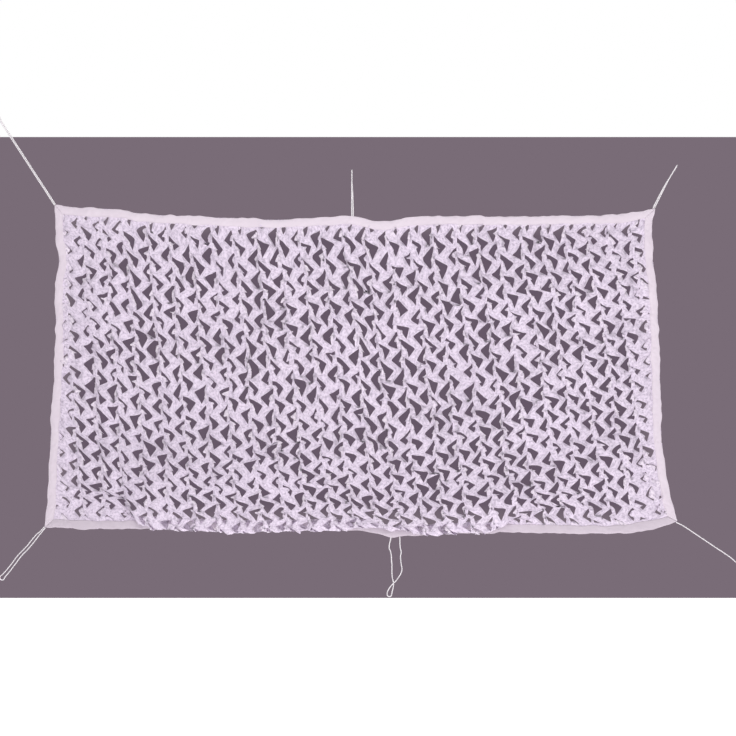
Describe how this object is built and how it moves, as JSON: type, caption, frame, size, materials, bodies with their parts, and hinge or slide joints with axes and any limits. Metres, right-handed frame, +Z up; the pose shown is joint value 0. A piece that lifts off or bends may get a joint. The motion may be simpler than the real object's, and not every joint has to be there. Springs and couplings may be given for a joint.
{
  "type": "camouflage netting",
  "caption": "Pale incised camouflage net, a wide cloth panel cut in rows of V slits and pulled open, with a taped edge and tie cords at its corners and edge middles.",
  "frame": {"origin": "middle of the panel's top edge, where the centre tie pulls it up", "axes": "+X along the width to the viewer's right, +Y towards the back of the panel, +Z up"},
  "size_m": [3.65, 0.1, 2.3579],
  "materials": {
    "net_cloth": "thin woven polyester cloth, pale lavender white, matt with a slight sheen, cut edges",
    "binding_tape": "folded woven polyester tape, warm white, matt, sewn with white thread",
    "tie_cord": "three-strand laid polypropylene cord, white, slightly glossy"
  },
  "bodies": {
    "root": {"net_sheet": "net_cloth", "binding_top": "binding_tape", "binding_bottom": "binding_tape", "binding_left": "binding_tape", "binding_right": "binding_tape", "tie_top_left": "tie_cord", "tie_top_centre": "tie_cord", "tie_top_right": "tie_cord", "tie_bottom_left": "tie_cord", "tie_bottom_centre": "tie_cord", "tie_bottom_right": "tie_cord", "knot_bottom_right": "tie_cord"}
  },
  "joints": []
}
